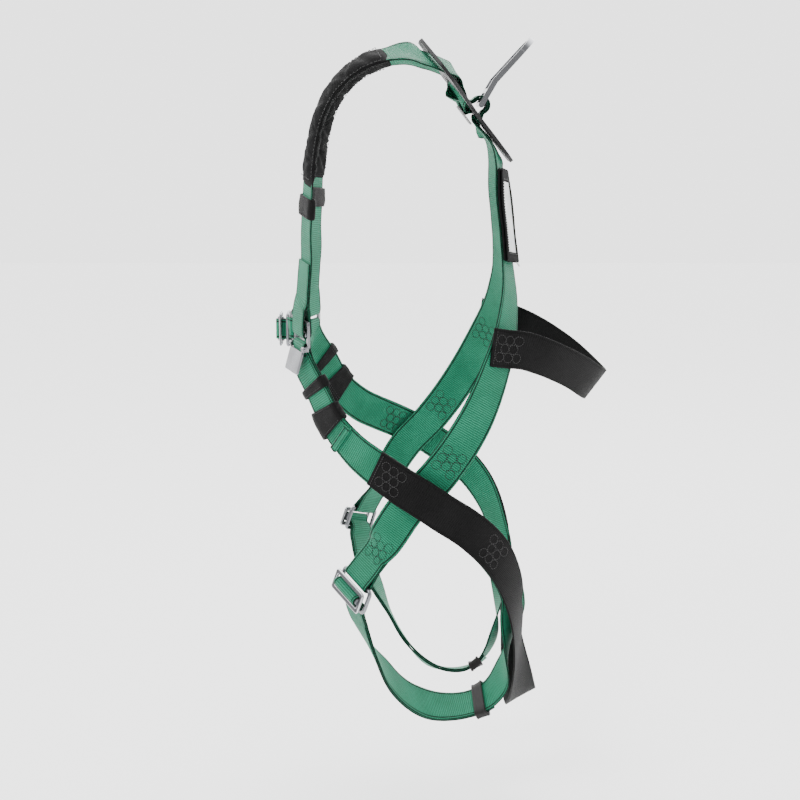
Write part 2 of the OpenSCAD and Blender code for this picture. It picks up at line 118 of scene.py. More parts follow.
def make_stage():
    middle = (cad_box[0] + cad_box[1]) / 2
    make_light("key", (1.6, -1.2, 1.5), middle, 0.9, 46)
    make_light("fill", (1.0, 1.9, 0.5), middle, 1.4, 14)
    make_light("back", (-1.6, 0.5, 1.6), middle, 1.4, 30)
    world = bpy.data.worlds.new("studio")
    world.use_nodes = True
    background = world.node_tree.nodes["Background"]
    background.inputs["Color"].default_value = (1, 1, 1, 1)
    # a white backdrop behind the harness, and a dimmer room in front of it
    sky = world.node_tree.nodes
    direction = sky.new("ShaderNodeSeparateXYZ")
    fade = sky.new("ShaderNodeMapRange")
    fade.interpolation_type = "SMOOTHSTEP"
    for name, number in (("From Min", -0.75), ("From Max", 0.35), ("To Max", 0.70)):
        fade.inputs[name].default_value = number
    rise = sky.new("ShaderNodeMapRange")
    rise.interpolation_type = "SMOOTHSTEP"
    for name, number in (("From Min", 0.10), ("From Max", 0.30), ("To Min", HORIZON), ("To Max", 6.5)):
        rise.inputs[name].default_value = number
    links = world.node_tree.links
    links.new(sky.new("ShaderNodeTexCoord").outputs["Generated"], direction.inputs[0])
    links.new(direction.outputs["Z"], rise.inputs["Value"])
    links.new(rise.outputs["Result"], fade.inputs["To Min"])
    links.new(direction.outputs["X"], fade.inputs["Value"])
    links.new(fade.outputs["Result"], background.inputs["Strength"])
    bpy.context.scene.world = world
    floor_z = cad_box[0].z - FLOOR_BELOW
    corners = [(x * FLOOR_HALF, y * FLOOR_HALF, floor_z) for x, y in ((-1, -1), (1, -1), (1, 1), (-1, 1))]
    mesh = bpy.data.meshes.new("floor")
    mesh.from_pydata(corners, [], [(0, 1, 2, 3)])
    floor = bpy.data.objects.new("floor", mesh)
    bpy.context.scene.collection.objects.link(floor)
    pale = bpy.data.materials.new("pale_floor")
    pale.use_nodes = True
    pale.node_tree.nodes["Principled BSDF"].inputs["Base Color"].default_value = (0.93, 0.93, 0.93, 1)
    pale.node_tree.nodes["Principled BSDF"].inputs["Roughness"].default_value = 0.8
    mesh.materials.append(pale)


make_camera()
make_stage()

# ---- Materials ----


class Shader:
    """A material's node tree, built up by small calls."""

    def __init__(self, name, **sockets):
        self.material = bpy.data.materials.new(name)
        self.material.use_nodes = True
        self.tree = self.material.node_tree
        self.surface = self.tree.nodes["Principled BSDF"]
        for socket, value in sockets.items():
            self.surface.inputs[socket.replace("_", " ")].default_value = value

    def node(self, kind, **inputs):
        made = self.tree.nodes.new("ShaderNode" + kind)
        for name, value in inputs.items():
            socket = made.inputs[name.replace("_", " ")]
            self.put(socket, value)
        return made

    def put(self, socket, value):
        if isinstance(value, bpy.types.NodeSocket):
            self.tree.links.new(value, socket)
        else:
            socket.default_value = value

    def math(self, operation, a, b=0.0, c=0.0):
        made = self.tree.nodes.new("ShaderNodeMath")
        made.operation = operation
        for i, value in enumerate((a, b, c)):
            self.put(made.inputs[i], value)
        return made.outputs[0]

    def between(self, value, low, high, to_low=0.0, to_high=1.0):
        made = self.node("MapRange", Value=value)
        made.interpolation_type = "SMOOTHSTEP"
        for name, number in (("From Min", low), ("From Max", high), ("To Min", to_low), ("To Max", to_high)):
            made.inputs[name].default_value = number
        return made.outputs["Result"]

    def mix(self, factor, a, b):
        made = self.tree.nodes.new("ShaderNodeMix")
        made.data_type = "RGBA"
        self.put(made.inputs["Factor"], factor)
        self.put(made.inputs["A"], a if isinstance(a, bpy.types.NodeSocket) else (*a, 1))
        self.put(made.inputs["B"], b if isinstance(b, bpy.types.NodeSocket) else (*b, 1))
        return made.outputs["Result"]

    def noise(self, vector, scale, detail=2.0, roughness=0.5):
        made = self.node("TexNoise", Vector=vector, Scale=scale, Detail=detail, Roughness=roughness)
        return made.outputs["Fac"]

    def place(self):
        return self.node("TexCoord").outputs["Object"]

    def bump(self, height, distance, strength=1.0, under=None):
        made = self.node("Bump", Height=height, Distance=distance, Strength=strength)
        if under is not None:
            self.put(made.inputs["Normal"], under)
        return made.outputs["Normal"]

    def set(self, **sockets):
        for name, value in sockets.items():
            self.put(self.surface.inputs[name.replace("_", " ")], value)
        return self.material


def weave_coordinates(shader):
    """Millimetres across the strap from its middle, and along it."""
    pin = shader.node("UVMap")
    pin.uv_map = "weave"
    split = shader.node("SeparateXYZ", Vector=pin.outputs["UV"])
    return split.outputs["X"], split.outputs["Y"]


def webbing_material(name, light, dark, line, selvedge, half_mm, rib_mm=2.5, yarn_mm=1.7, sheen=0.02,
                     specular=0.10):
    """Narrow weave: ribs across the strap, each broken into yarns, with a dark line near both edges, and
    painted shade in the grooves between the ribs and on the rounded edges.
    """
    shader = Shader(name, Roughness=0.6, Sheen_Weight=sheen, Sheen_Roughness=0.4, Specular_IOR_Level=specular)
    across, along = weave_coordinates(shader)
    row = shader.math("DIVIDE", along, rib_mm)
    column = shader.math("DIVIDE", across, yarn_mm)
    # the ribs of neighbouring yarns lie a little apart, in a slight zigzag
    zigzag = shader.math("MULTIPLY", shader.math("PINGPONG", column, 1.0), 0.22)
    phase = shader.math("MULTIPLY", shader.math("ADD", row, zigzag), math.pi)
    rib = shader.math("ABSOLUTE", shader.math("SINE", phase))
    yarn = shader.math("ABSOLUTE", shader.math("SINE", shader.math("MULTIPLY", column, math.pi)))
    rounded = shader.math("POWER", rib, 0.6)
    height = shader.math("MULTIPLY", rounded, shader.math("MULTIPLY_ADD", yarn, 0.35, 0.65))
    edge = shader.math("SUBTRACT", half_mm, shader.math("ABSOLUTE", across))
    in_line = shader.math("SUBTRACT", 1.0, shader.between(
        shader.math("ABSOLUTE", shader.math("SUBTRACT", edge, 3.1)), 0.85, 1.1))
    outside = shader.math("SUBTRACT", 1.0, shader.between(edge, 2.0, 2.8))
    wear = shader.noise(shader.place(), 22.0, 3.0)
    fibre = shader.noise(shader.place(), 900.0, 2.0)
    colour = shader.mix(shader.between(wear, 0.3, 0.7), dark, light)
    colour = shader.mix(outside, colour, selvedge)
    colour = shader.mix(in_line, colour, line)
    # painted shade: the outermost rounded edge of the strap, where it turns away, is darkened to the line
    # colour
    painted_edge_shade = shader.math("SUBTRACT", 1.0, shader.between(edge, 0.35, 0.75))
    colour = shader.mix(painted_edge_shade, colour, line)
    # painted shade: the grooves between the ribs are darkened towards a near-black copy of the dark colour
    groove = shader.math("SUBTRACT", 1.0, shader.between(height, 0.2, 0.85))
    colour = shader.mix(shader.math("MULTIPLY", groove, 0.9), colour, tuple(c * 0.15 for c in dark))
    colour = shader.mix(shader.math("MULTIPLY", shader.between(fibre, 0.45, 0.75), 0.18), colour,
                        tuple(min(1.0, c * 1.7 + 0.01) for c in light))
    normal = shader.bump(height, 0.00040, 0.9)
    normal = shader.bump(fibre, 0.00006, 0.5, under=normal)
    return shader.set(Base_Color=colour, Normal=normal)


def knit_material(name, colour, worn, scale, depth, sheen=0.0, roughness=0.85):
    """Soft knitted or coated cloth, without a map: fine loops and slow patches of wear."""
    shader = Shader(name, Sheen_Weight=sheen, Sheen_Roughness=0.5, Specular_IOR_Level=0.08)
    place = shader.place()
    loops = shader.node("TexVoronoi", Vector=place, Scale=scale).outputs["Distance"]
    patches = shader.noise(place, 30.0, 4.0)
    base = shader.mix(shader.between(patches, 0.35, 0.75), colour, worn)
    base = shader.mix(shader.math("MULTIPLY", loops, 0.5), base, tuple(c * 0.4 for c in colour))
    normal = shader.bump(loops, depth, 0.8)
    rough = shader.between(patches, 0.2, 0.8, roughness - 0.06, roughness + 0.08)
    return shader.set(Base_Color=base, Normal=normal, Roughness=rough)


def steel_material(name, colour, roughness, scratches=0.35, metallic=1.0, brushed=(1, 1, 1)):
    """Plated steel: faint scratches, slight tarnish and a roughness that varies with handling."""
    shader = Shader(name, Metallic=metallic)
    place = shader.place()
    stretched = shader.node("VectorMath")
    stretched.operation = "MULTIPLY"
    shader.put(stretched.inputs[0], place)
    stretched.inputs[1].default_value = brushed
    fine = shader.noise(stretched.outputs[0], 900.0, 4.0, 0.6)
    patches = shader.noise(place, 45.0, 4.0, 0.55)
    base = shader.mix(shader.between(patches, 0.3, 0.75), colour, tuple(c * 0.78 for c in colour))
    rough = shader.math("ADD", shader.between(patches, 0.25, 0.8, roughness - 0.05, roughness + 0.12),
                        shader.math("MULTIPLY", shader.math("SUBTRACT", fine, 0.5), 0.2 * scratches))
    normal = shader.bump(fine, 0.00004, scratches)
    return shader.set(Base_Color=base, Roughness=rough, Normal=normal)


def plastic_material(name, colour, roughness=0.5, grain=1400.0, depth=0.00008):
    shader = Shader(name, Specular_IOR_Level=0.2)
    place = shader.place()
    pebbles = shader.node("TexVoronoi", Vector=place, Scale=grain).outputs["Distance"]
    patches = shader.noise(place, 35.0, 3.0)
    base = shader.mix(shader.between(patches, 0.3, 0.8), colour, tuple(c * 1.5 + 0.004 for c in colour))
    rough = shader.between(patches, 0.2, 0.8, roughness - 0.06, roughness + 0.1)
    return shader.set(Base_Color=base, Roughness=rough, Normal=shader.bump(pebbles, depth, 0.6))


def thread_material(name, colour):
    shader = Shader(name, Roughness=0.55, Sheen_Weight=0.08, Specular_IOR_Level=0.25)
    twist = shader.noise(shader.place(), 2500.0, 2.0)
    base = shader.mix(shader.between(twist, 0.3, 0.7), tuple(c * 0.6 for c in colour), colour)
    return shader.set(Base_Color=base, Normal=shader.bump(twist, 0.0001, 0.6))


GREEN = dict(light=(0.016, 0.196, 0.108), dark=(0.010, 0.148, 0.078), line=(0.0006, 0.003, 0.002),
             selvedge=(0.014, 0.165, 0.088))
BLACK = dict(light=(0.0062, 0.0060, 0.0062), dark=(0.0036, 0.0035, 0.0036), line=(0.002, 0.002, 0.002),
             selvedge=(0.0045, 0.0045, 0.0045))
green_webbing = webbing_material("green_webbing", half_mm=WEB_W / MM / 2, **GREEN)
green_narrow = webbing_material("green_narrow_webbing", half_mm=CHEST_W / MM / 2, **GREEN)
black_webbing = webbing_material("black_webbing", half_mm=WEB_W / MM / 2, sheen=0.0, specular=0.08, **BLACK)
dark_thread = thread_material("dark_thread", (0.0012, 0.006, 0.004))
grey_thread = thread_material("grey_thread", (0.030, 0.030, 0.030))
black_thread = thread_material("black_thread", (0.016, 0.016, 0.016))
pad_fabric = knit_material("pad_fabric", (0.0040, 0.0040, 0.0041), (0.0056, 0.0056, 0.0058), 1100.0, 0.0001)
elastic_weave = webbing_material("elastic_weave", half_mm=200.0, rib_mm=1.1, yarn_mm=1.0, sheen=0.0,
                                 specular=0.08, light=(0.0066, 0.0063, 0.0066), dark=(0.0042, 0.0040, 0.0042),
                                 line=(0.006, 0.006, 0.006), selvedge=(0.0066, 0.0066, 0.0066))
keeper_plastic = plastic_material("keeper_rubber", (0.011, 0.010, 0.010), 0.6)
pocket_fabric = knit_material("pocket_fabric", (0.0045, 0.0045, 0.0047), (0.0070, 0.0070, 0.0072),
                              900.0, 0.0001)
card_white = plastic_material("card_white", (0.55, 0.56, 0.555), 0.45, 600.0, 0.00003)
dorsal_plastic = plastic_material("dorsal_plastic", (0.009, 0.009, 0.0095), 0.45)
band_grey = knit_material("band_grey", (0.30, 0.30, 0.30), (0.36, 0.36, 0.355), 1300.0, 0.00008,
                          roughness=0.6)
forged = steel_material("forged_steel", (0.27, 0.275, 0.29), 0.12)
bright = steel_material("bright_steel", (0.21, 0.215, 0.23), 0.26)
bar_steel = steel_material("bar_steel", (0.22, 0.225, 0.24), 0.3)
dark_face = steel_material("dark_face", (0.075, 0.075, 0.082), 0.36, metallic=0.75)
bright_edge = steel_material("bright_edge", (0.5, 0.51, 0.53), 0.2)

# ---- Courses of the straps, read from the CAD solids ----


def welded(node):
    """A CAD node's distinct vertices and its edges between them."""
    mesh = nodes[node].data
    co = np.array([v.co for v in mesh.vertices])
    keys = np.round(co / (0.01 * MM)).astype(int)
    _, first, index = np.unique(keys, axis=0, return_index=True, return_inverse=True)
    index = index.reshape(-1)
    edges = {tuple(sorted((index[a], index[b]))) for a, b in (e.vertices for e in mesh.edges)}
    return co[first], {e for e in edges if e[0] != e[1]}


def rectangles(points, width, thickness):
    """Corners of every width by thickness rectangle among the points: its strap's cross-sections."""
    near = 0.03 * MM
    gap = np.linalg.norm(points[:, None] - points[None], axis=2)
    thin = np.abs(gap - thickness) < near
    wide = np.abs(gap - width) < near
    found = set()
    for a in range(len(points)):
        for b in np.nonzero(thin[a])[0]:
            if b < a:
                continue
            for c in np.nonzero(wide[b])[0]:
                last = points[a] + points[c] - points[b]
                d = int(np.argmin(np.linalg.norm(points - last, axis=1)))
                square = abs(gap[a, c] ** 2 - width**2 - thickness**2) < 4 * near * width
                if square and np.linalg.norm(points[d] - last) < near:
                    found.add(frozenset((int(a), int(b), int(c), d)))
    return [sorted(f) for f in found if len(f) == 4]


def paths(rings, edges):
    """The rings in order along each strap, as lists of ring numbers."""
    owner = {corner: i for i, ring in enumerate(rings) for corner in ring}
    joined = {i: set() for i in range(len(rings))}
    for a, b in edges:
        i, j = owner.get(a), owner.get(b)
        if i is not None and j is not None and i != j:
            joined[i].add(j)
            joined[j].add(i)
    found, seen = [], set()
    for start in sorted(joined, key=lambda i: (len(joined[i]), i)):
        if start in seen:
            continue
        path = [start]
        seen.add(start)
        while True:
            onward = sorted(joined[path[-1]] - seen)
            if not onward:
                break
            path.append(onward[0])
            seen.add(onward[0])
        found.append(path)
    return found


def spliced(lines, reach=0.05):
    """Joins lines of points whose ends face each other, where a solid hides a few cross-sections."""
    lines = [list(line) for line in lines]
    while True:
        best = None
        for i, a in enumerate(lines):
            for j, b in enumerate(lines):
                if i == j or len(a) < 2:
                    continue
                for first in (a, a[::-1]):
                    for second in (b, b[::-1]):
                        gap = second[0][0] - first[-1][0]
                        size = np.linalg.norm(gap)
                        ahead = first[-1][0] - first[-2][0]
                        aim = gap @ ahead / (size * np.linalg.norm(ahead))
                        if size < reach and aim > 0.94 and (best is None or size < best[0]):
                            best = (size, i, j, first + second)
        if best is None:
            return lines
        _, i, j, line = best
        lines = [x for k, x in enumerate(lines) if k not in (i, j)] + [line]


def unit(v):
    return v / np.maximum(np.linalg.norm(v, axis=-1, keepdims=True), 1e-12)


class Course:
    """A strap's middle line with its outward and sideways directions, sampled finely."""

    def __init__(self, centre, out):
        along = unit(np.gradient(centre, axis=0))
        self.centre = centre
        self.out = unit(out - (out * along).sum(1, keepdims=True) * along)
        self.across = np.cross(along, self.out)
        self.s = np.concatenate([[0], np.cumsum(np.linalg.norm(np.diff(centre, axis=0), axis=1))])
        self.length = self.s[-1]

    def at(self, s):
        """(centre, outward, across) at distances s from the start."""
        s = np.atleast_1d(s)
        centre, out, across = (
            np.stack([np.interp(s, self.s, values[:, k]) for k in range(3)], axis=1)
            for values in (self.centre, self.out, self.across))
        return centre, unit(out), unit(across)

    def between(self, start, end, step=0.002):
        s = np.linspace(start, end, max(3, int(round((end - start) / step)) + 1))
        centre, out, _ = self.at(s)
        return Course(centre, out)

    def nearest(self, point):
        """Distance along the course of its nearest place to a point."""
        return self.s[int(np.argmin(np.linalg.norm(self.centre - np.array(point), axis=1)))]


def hermite(points, values, step):
    """A smooth curve through points, and values carried along it, about step apart."""
    gaps = np.linalg.norm(np.diff(points, axis=0), axis=1)
    both = np.hstack([points, values])
    slopes = np.diff(both, axis=0) / gaps[:, None]
    middle = (slopes[:-1] * gaps[1:, None] + slopes[1:] * gaps[:-1, None]) / (gaps[1:] + gaps[:-1])[:, None]
    tangents = np.vstack([2 * slopes[0] - middle[0], middle, 2 * slopes[-1] - middle[-1]])
    rows = []
    for i, gap in enumerate(gaps):
        t = np.arange(max(1, int(round(gap / step))))[:, None]
        t = t / len(t)
        rows.append((2 * t**3 - 3 * t**2 + 1) * both[i] + (t**3 - 2 * t**2 + t) * gap * tangents[i]
                    + (3 * t**2 - 2 * t**3) * both[i + 1] + (t**3 - t**2) * gap * tangents[i + 1])
    rows.append(both[-1:])
    rows = np.vstack(rows)
    return rows[:, :3], rows[:, 3:]


def courses(node, width=WEB_W, thickness=WEB_T, step=0.002):
    """Every strap in a CAD node as a Course, facing away from the wearer for most of its length."""
    points, edges = welded(node)
    rings = rectangles(points, width, thickness)
    lines = []
    for path in paths(rings, edges):
        line = []
        for i in path:
            corners = points[rings[i]]
            mate = corners[int(np.argmin(np.linalg.norm(corners[1:] - corners[0], axis=1))) + 1]
            out = unit(mate - corners[0])
            line.append((corners.mean(0), out))
        lines.append(line)
    made = []
    for line in spliced(lines):
        if len(line) < 2:
            continue
        centre = np.array([p for p, _ in line])
        out = np.array([o for _, o in line])
        for k in range(1, len(out)):
            if out[k] @ out[k - 1] < 0:
                out[k] = -out[k]
        middle = np.stack([np.zeros(len(centre)), np.full(len(centre), 0.02),
                           np.clip(centre[:, 2], -0.62, -0.1)], axis=1)
        if ((centre - middle) * out).sum() < 0:
            out = -out
        made.append(Course(*hermite(centre, out, step)))
    return sorted(made, key=lambda c: -c.length)


# ---- Building meshes ----


def add_mesh(name, points, faces, material, weave=None, face_material=None, smooth=True):
    """An object from points and faces; weave gives each point's millimetres across and along the cloth."""
    mesh = bpy.data.meshes.new(name)
    mesh.from_pydata(np.asarray(points).tolist(), [], [list(map(int, f)) for f in faces])
    for one in material if isinstance(material, (list, tuple)) else [material]:
        mesh.materials.append(one)
    if face_material is not None:
        mesh.polygons.foreach_set("material_index", np.asarray(face_material, dtype=np.int32))
    if weave is not None:
        layer = mesh.uv_layers.new(name="weave")
        corners = np.empty(len(mesh.loops), dtype=np.int32)
        mesh.loops.foreach_get("vertex_index", corners)
        layer.data.foreach_set("uv", np.asarray(weave, dtype=np.float32)[corners].ravel())
    mesh.polygons.foreach_set("use_smooth", np.full(len(mesh.polygons), smooth))
    mesh.update()
    made = bpy.data.objects.new(name, mesh)
    bpy.context.scene.collection.objects.link(made)
    return made


def tube_faces(rings, sides, closed_ends=True, start=0):
    """Faces of a tube whose points are rings of a number of sides, one ring after another."""
    i, j = np.meshgrid(np.arange(rings - 1), np.arange(sides), indexing="ij")
    a = start + i * sides + j
    d = start + i * sides + (j + 1) % sides
    faces = np.stack([a, d, d + sides, a + sides], axis=-1).reshape(-1, 4).tolist()
    if closed_ends:
        faces.append(list(range(start + sides - 1, start - 1, -1)))
        faces.append(list(range(start + (rings - 1) * sides, start + rings * sides)))
    return faces


def joined_meshes(parts):
    """Several (points, faces, weave) as one."""
    points, faces, weaves, count = [], [], [], 0
    for p, f, w in parts:
        points.append(p)
        faces += [[k + count for k in face] for face in f]
        weaves.append(w)
        count += len(p)
    return np.vstack(points), faces, np.vstack(weaves)


def finished(piece, body, slot, *replaced):
    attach(piece, body)
    if replaced:
        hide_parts(*replaced)
    return piece


def body_of(node):
    return nodes[node]["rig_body"]


# ---- Webbing ----

WOVEN_T = 0.0023
RIPPLE = 0.00045
GROOVE_AT, GROOVE = 0.0031, 0.00012


def webbing_profile(width, thickness=WOVEN_T):
    """Cross-section points: two faces with a shallow groove under each dark line, and round selvedges."""
    half, r = width / 2, thickness / 2
    line = half - GROOVE_AT
    top = [(x, r - (GROOVE if abs(abs(x) - line) < 1e-6 else 0))
           for x in sorted({-half + r, half - r, line, -line, line - 0.0009, 0.0009 - line, line + 0.0008,
                            -line - 0.0008, *np.linspace(0.003 - line, line - 0.003, 7)})]
    turn = [(half - r + r * math.cos(a), r * math.sin(a)) for a in np.radians((54, 18, -18, -54))]
    right = top + turn
    return np.array(right + [(-x, -y) for x, y in right])


def ripple(course, amount=RIPPLE):
    """How far each cross-section, and its edges, stray outward: nothing round hardware."""
    bend = np.linalg.norm(np.gradient(unit(np.gradient(course.centre, axis=0)), axis=0), axis=1)
    bend = bend / np.maximum(np.gradient(course.s), 1e-6)
    free = np.clip(1.4 - bend / 18, 0, 1)
    kernel = np.hanning(25) / np.hanning(25).sum()
    free = np.convolve(np.pad(free, 12, mode="edge"), kernel, mode="valid")
    middle = np.array([noise.noise(Vector(p) * 19) for p in course.centre])
    edges = np.array([[noise.noise(Vector(p) * 33 + Vector((side * 9, 5, 1))) for side in (-1, 1)]
                      for p in course.centre])
    return amount * free * middle, amount * 1.1 * free[:, None] * edges


def webbing_mesh(course, width, thickness=WOVEN_T, amount=RIPPLE):
    """Points, faces and weave coordinates of a strap along a course."""
    profile = webbing_profile(width, thickness)
    middle, edges = ripple(course, amount)
    x, y = profile[:, 0], profile[:, 1]
    lift = middle[:, None] + np.where(x < 0, edges[:, :1], edges[:, 1:]) * (x / (width / 2)) ** 2
    points = (course.centre[:, None] + x[None, :, None] * course.across[:, None]
              + (y[None, :] + lift)[..., None] * course.out[:, None])
    weave = np.stack(np.broadcast_arrays(x[None, :] / MM, course.s[:, None] / MM), axis=-1)
    rings, sides = points.shape[:2]
    return points.reshape(-1, 3), tube_faces(rings, sides), weave.reshape(-1, 2)


def strap(name, made, width, material, body, slot, *replaced):
    """A piece of webbing along one or more courses."""
    points, faces, weave = joined_meshes([webbing_mesh(c, width) for c in made])
    return finished(add_mesh(name, points, faces, material, weave), body, slot, *replaced)


# ---- Stitching ----

STITCH_R = 0.00050
STITCH_STEPS = ((0.0, 0.35, -0.6), (0.16, 0.85, 0.1), (0.5, 1.0, 0.5), (0.84, 0.85, 0.1), (1.0, 0.35, -0.6))


def stitches(starts, ends, normals, radius=STITCH_R, sides=6):
    """One short, arched piece of thread for each start and end."""
    starts, ends, normals = map(np.asarray, (starts, ends, normals))
    along = unit(ends - starts)
    beside = np.cross(along, normals)
    angle = np.arange(sides) * 2 * math.pi / sides
    rings = []
    for share, thick, lift in STITCH_STEPS:
        middle = starts + share * (ends - starts) + normals * (lift * radius)
        rings.append(middle[:, None] + radius * thick * (np.cos(angle)[None, :, None] * beside[:, None]
                                                         + np.sin(angle)[None, :, None] * normals[:, None]))
    points = np.stack(rings, axis=1).reshape(-1, 3)
    each = len(STITCH_STEPS) * sides
    faces = []
    for k in range(len(starts)):
        faces += tube_faces(len(STITCH_STEPS), sides, True, k * each)
    return points, faces


class Seams:
    """Collects the lines of stitches that are sewn in one thread on one body."""

    def __init__(self, name, thread, body, slot):
        self.name, self.thread, self.body, self.slot = name, thread, body, slot
        self.starts, self.ends, self.normals = [], [], []

    def line(self, course, path, side=1, offset=WOVEN_T / 2, length=0.0024, gap=0.0007):
        """Stitches along a path of (distance along the course, distance across it)."""
        path = np.asarray(path, float)
        steps = np.concatenate([[0], np.cumsum(np.linalg.norm(np.diff(path, axis=0), axis=1))])
        count = max(1, int(round(steps[-1] / (length + gap))))
        pitch = steps[-1] / count
        places = np.arange(count)[:, None] * pitch + np.array([gap / 2, pitch - gap / 2])[None]
        s = np.interp(places.ravel(), steps, path[:, 0])
        x = np.interp(places.ravel(), steps, path[:, 1])
        centre, out, across = course.at(s)
        points = centre + x[:, None] * across + side * offset * out
        normals = side * out
        self.starts += list(points[0::2])
        self.ends += list(points[1::2])
        self.normals += list(unit(normals[0::2] + normals[1::2]))

    def honeycomb(self, course, s, side=1, offset=WOVEN_T / 2, pitch=0.0112):
        """Eight rounded cells in rows of three, two and three, as sewn through the straps."""
        turn = np.linspace(0, 2 * math.pi, 37)
        radius = pitch * 0.49 * (1 + 0.035 * np.cos(6 * turn))
        for row, cells in ((-1, (-1, 0, 1)), (0, (-0.5, 0.5)), (1, (-1, 0, 1))):
            for cell in cells:
                ring = np.stack([s + cell * pitch + radius * np.cos(turn),
                                 row * pitch * 0.9 + radius * np.sin(turn)], axis=1)
                self.line(course, ring, side, offset, length=0.0020, gap=0.0006)

    def bar(self, course, s, half, side=1, offset=WOVEN_T / 2):
        """A close zigzag across the strap."""
        count = int(half / 0.0007)
        x = np.linspace(-half, half, 2 * count)
        zigzag = np.where(np.arange(len(x)) % 2 == 0, -0.0012, 0.0012)
        self.line(course, np.stack([s + zigzag, x], axis=1), side, offset, length=0.0026, gap=0.0001)

    def make(self):
        points, faces = stitches(self.starts, self.ends, self.normals)
        return finished(add_mesh(self.name, points, faces, self.thread), self.body, self.slot)


# ---- The straps themselves ----


def from_start(course, point):
    """The course, running away from a point."""
    point = np.array(point)
    if np.linalg.norm(course.centre[0] - point) > np.linalg.norm(course.centre[-1] - point):
        return Course(course.centre[::-1], course.out[::-1])
    return course


def linked(*parts):
    """Courses that follow one another, as one."""
    centre, out = [parts[0].centre], [parts[0].out]
    for part in parts[1:]:
        if part.out[0] @ out[-1][-1] < 0:
            part = Course(part.centre, -part.out)
        centre.append(part.centre)
        out.append(part.out)
    return Course(np.vstack(centre), np.vstack(out))


def mirror(side):
    return 1 if side == "left" else -1


shoulder, hip, tail, loop = {}, {}, {}, {}
sewing = {"green": Seams("sewing_green", dark_thread, "root", "green_webbing"),
          "black": Seams("sewing_black", grey_thread, "root", "black_webbing"),
          "dark": Seams("sewing_dark", black_thread, "root", "elastic")}

for side in SIDES:
    m = mirror(side)
    course = from_start(courses(f"shoulder_strap_{side}")[0], (m * 0.080, -0.12, -0.245))
    shoulder[side] = course
    strap(f"webbing_shoulder_{side}", [course], WEB_W, green_webbing, "root", "green_webbing",
          f"shoulder_strap_{side}")

    long, short = courses(f"thigh_strap_{side}")
    buckle = courses(f"leg_keeper_{side}", BAND_W, LEG_BAND_T)[0].centre.mean(0)
    long = from_start(long, (m * 0.08, -0.12, -0.34))
    short = from_start(short, (m * 0.07, 0.13, -0.75))
    hip[side], tail[side] = long, short
    turn = from_start(courses(f"thigh_turn_{side}")[0], long.centre[-1])
    hidden, hidden_tail = long.nearest(buckle), short.nearest(buckle)
    strap(f"webbing_thigh_{side}", [long.between(0, hidden), short.between(0, hidden_tail)], WEB_W,
          green_webbing, "root", "green_webbing", f"thigh_strap_{side}")
    way_back = short.between(hidden_tail, short.length)
    way_back = Course(way_back.centre[::-1], way_back.out[::-1])
    loop[side] = linked(long.between(hidden, long.length), turn, way_back)
    points, faces, weave = webbing_mesh(loop[side], WEB_W)
    piece = add_mesh(f"webbing_leg_loop_{side}", points, faces, green_webbing, weave)
    up = long.at(long.length)[0][0] - long.at(long.length - 0.06)[0][0]
    long.at(long.length - 0.055)[0][0]
    long.at(long.length - 0.055)[0][0] + up
    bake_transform(piece)
    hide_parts(f"thigh_turn_{side}")

seat = courses("seat_strap")[0]
lumbar = courses("lumbar_strap")[0]
strap("webbing_seat", [seat], WEB_W, black_webbing, "root", "black_webbing", "seat_strap")
strap("webbing_lumbar", [lumbar], WEB_W, black_webbing, "root", "black_webbing", "lumbar_strap")
strap("webbing_chest_right", courses("chest_strap_right", CHEST_W), CHEST_W, green_narrow, "root",
      "green_webbing", "chest_strap_right")
near = from_start(courses("chest_strap_left", CHEST_W)[0], (0.04, -0.13, -0.32))
turn = from_start(courses("chest_turn", CHEST_W)[0], near.centre[-1])
points, faces, weave = webbing_mesh(linked(near, turn), CHEST_W)
piece = add_mesh("webbing_chest_left", points, faces, green_narrow, weave)
end = near.centre[-1]
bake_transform(piece)
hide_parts("chest_strap_left", "chest_turn")

# ---- Free ends of the webbing, doubled over below the hip sleeves ----


FREE_W, FREE_LIFT, ROLL_R = 0.043, 0.0023, 0.0017


def folded_end(course, start, end, back, lift=FREE_LIFT, turn=ROLL_R):
    """A layer lying on a course, rolled over at its end and sewn back on itself."""
    centre, out = [], []
    for s in np.arange(start, end, 0.002):
        at, up, _ = course.at(s)
        centre.append(at[0] + lift * up[0])
        out.append(up[0])
    at, up, _ = course.at(end)
    on = unit(course.at(end)[0] - course.at(end - 0.004)[0])[0]
    for angle in np.linspace(0, math.pi, 9):
        centre.append(at[0] + (lift + turn * (1 - math.cos(angle))) * up[0] + turn * math.sin(angle) * on)
        out.append(math.cos(angle) * up[0] - math.sin(angle) * on)
    for s in np.arange(end - 0.002, end - back, -0.002):
        at, up, _ = course.at(s)
        centre.append(at[0] + (lift + 2 * turn) * up[0])
        out.append(-up[0])
    return Course(np.array(centre), np.array(out))


for side in SIDES:
    sleeve = courses(f"hip_sleeve_{side}", BAND_W, HIP_BAND_T)[0].centre
    middle = hip[side].nearest(sleeve.mean(0))
    foot = max(hip[side].nearest(sleeve[0]), hip[side].nearest(sleeve[-1]))
    head = 2 * middle - foot
    end = folded_end(hip[side], head - 0.030, foot + 0.016, back=0.0075)
    strap(f"webbing_free_end_{side}", [end], FREE_W, green_webbing, "root", "green_webbing")
    sewing["green"].bar(hip[side], foot + 0.012, 0.018, 1, FREE_LIFT + 2 * ROLL_R + WOVEN_T / 2)

# ---- Sewing ----

LAYER = 0.0026  # from the middle of a black strap to the middle of the green one under it
SEAT_REAR = 0.178  # the seat strap's second cluster, from each end of the strap
OUTER_CLUSTERS, INNER_CLUSTER = (-0.458, -0.565), -0.352  # heights on the back straps
PAST_SHOULDER = 0.75  # distance along a shoulder strap by which it is down the back

